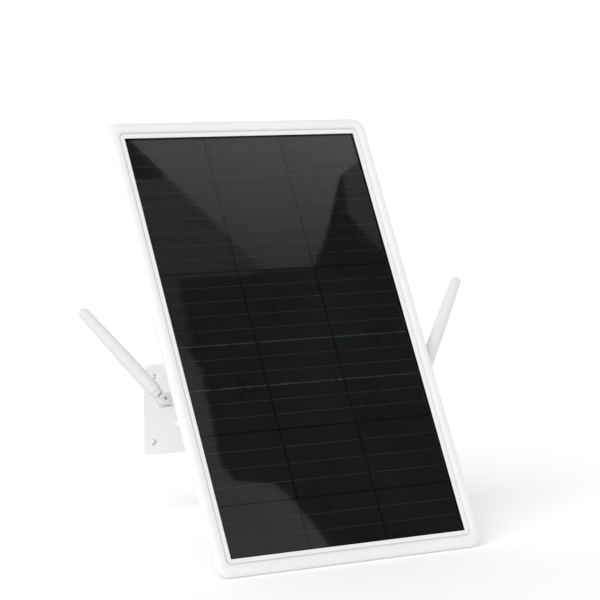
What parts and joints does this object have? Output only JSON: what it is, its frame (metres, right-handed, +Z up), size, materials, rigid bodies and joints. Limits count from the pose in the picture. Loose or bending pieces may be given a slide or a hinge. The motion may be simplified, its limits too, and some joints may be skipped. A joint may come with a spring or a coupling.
{
  "type": "solar panel",
  "caption": "White-framed solar panel on a wall arm that pans and tilts, with a rear electronics housing and folding antennas.",
  "frame": {"origin": "centre of the wall plate's rear face", "axes": "+Y into the wall, +X to the right seen from the front, +Z up; the panel faces -Y and leans back 27.5 degrees at rest"},
  "size_m": [0.4964, 0.3886, 0.48],
  "materials": {
    "frame_white": "satin moulded plastic",
    "cover_white": "fine textured moulded plastic",
    "antenna_white": "satin moulded plastic",
    "bracket_white": "satin powder coat",
    "solar_glass": "clear tempered glass",
    "silicon": "dark coated silicon with fine silver lines",
    "black_film": "matt black film",
    "black_rubber": "matt",
    "grey_rubber": "matt moulded rubber",
    "steel": "zinc plated",
    "brass": "machined",
    "circuit_board": "solder mask",
    "battery_wrap": "shrink film",
    "black_plastic": "fine textured",
    "lens": "clear tinted"
  },
  "bodies": {
    "wall_mount": {"wall_plate": "bracket_white", "pan_bolt": "steel", "pan_nut": "steel"},
    "arm": {"arm_rear_lug": "bracket_white", "arm_tube": "bracket_white", "arm_front_lug": "bracket_white"},
    "antenna_left_base": {"antenna_base_left": "antenna_white", "antenna_pin_left": "steel"},
    "antenna_left_rod": {"antenna_rod_left": "antenna_white"},
    "antenna_right_base": {"antenna_base_right": "antenna_white", "antenna_pin_right": "steel"},
    "antenna_right_rod": {"antenna_rod_right": "antenna_white"},
    "power_button": {"power_button": "grey_rubber"},
    "port_cover": {"port_cover": "grey_rubber"},
    "panel": {"front_frame": "frame_white", "solar_glass": "solar_glass", "backsheet": "black_film", "laminate_seal": "black_rubber", "rear_cover": "cover_white", "housing_shell": "cover_white", "housing_seal": "black_rubber", "main_board": "circuit_board", "radio_shield": "steel", "battery_holder": "black_plastic", "battery_cell_1": "battery_wrap", "battery_cell_2": "battery_wrap", "antenna_lead_left": "black_plastic", "antenna_lead_right": "black_plastic", "panel_lead": "black_plastic", "charge_socket": "black_plastic", "port_cover_pin": "steel", "status_lens": "lens", "vent_plug": "black_plastic", "tilt_yoke": "bracket_white", "tilt_washer_left": "steel", "tilt_washer_right": "steel", "tilt_bolt": "steel", "tilt_nut": "steel", "antenna_jack_left": "brass", "antenna_jack_right": "brass", "solar_cell_1_1": "silicon", "solar_cell_1_2": "silicon", "solar_cell_1_3": "silicon", "solar_cell_2_1": "silicon", "solar_cell_2_2": "silicon", "solar_cell_2_3": "silicon", "solar_cell_3_1": "silicon", "solar_cell_3_2": "silicon", "solar_cell_3_3": "silicon", "solar_cell_4_1": "silicon", "solar_cell_4_2": "silicon", "solar_cell_4_3": "silicon", "housing_screw_1": "steel", "housing_screw_2": "steel", "housing_screw_3": "steel", "housing_screw_4": "steel", "yoke_screw_1": "steel", "yoke_screw_2": "steel", "yoke_screw_3": "steel", "yoke_screw_4": "steel"}
  },
  "joints": [
    {"name": "pan", "type": "hinge", "parent": "wall_mount", "child": "arm", "pos_m": [0, -0.042, 0], "axis": [0, 0, 1], "range_deg": [-35, 35]},
    {"name": "tilt", "type": "hinge", "parent": "arm", "child": "panel", "pos_m": [0, -0.225, 0], "axis": [-1, 0, 0], "range_deg": [-27.5, 20]},
    {"name": "antenna_left_swivel", "type": "hinge", "parent": "panel", "child": "antenna_left_base", "pos_m": [-0.1736, -0.26588, 0.05228], "axis": [-1, 0, 0], "range_deg": [0, 180]},
    {"name": "antenna_left_fold", "type": "hinge", "parent": "antenna_left_base", "child": "antenna_left_rod", "pos_m": [-0.1736, -0.26588, 0.05228], "axis": [0, -0.887, 0.4617], "range_deg": [-33.4, 56.6]},
    {"name": "antenna_right_swivel", "type": "hinge", "parent": "panel", "child": "antenna_right_base", "pos_m": [0.1736, -0.26588, 0.05228], "axis": [-1, 0, 0], "range_deg": [0, 195]},
    {"name": "antenna_right_fold", "type": "hinge", "parent": "antenna_right_base", "child": "antenna_right_rod", "pos_m": [0.1736, -0.26588, 0.05228], "axis": [0, 0.9763, -0.2164], "range_deg": [-16, 59]},
    {"name": "button_press", "type": "slide", "parent": "panel", "child": "power_button", "axis": [0, 0.4617, 0.887], "range_m": [0, 0.0015], "stiffness_N_per_m": 400, "springref_m": -0.0008},
    {"name": "port_cover_hinge", "type": "hinge", "parent": "panel", "child": "port_cover", "pos_m": [0.06, -0.30734, -0.04665], "axis": [1, 0, 0], "range_deg": [0, 120]}
  ]
}
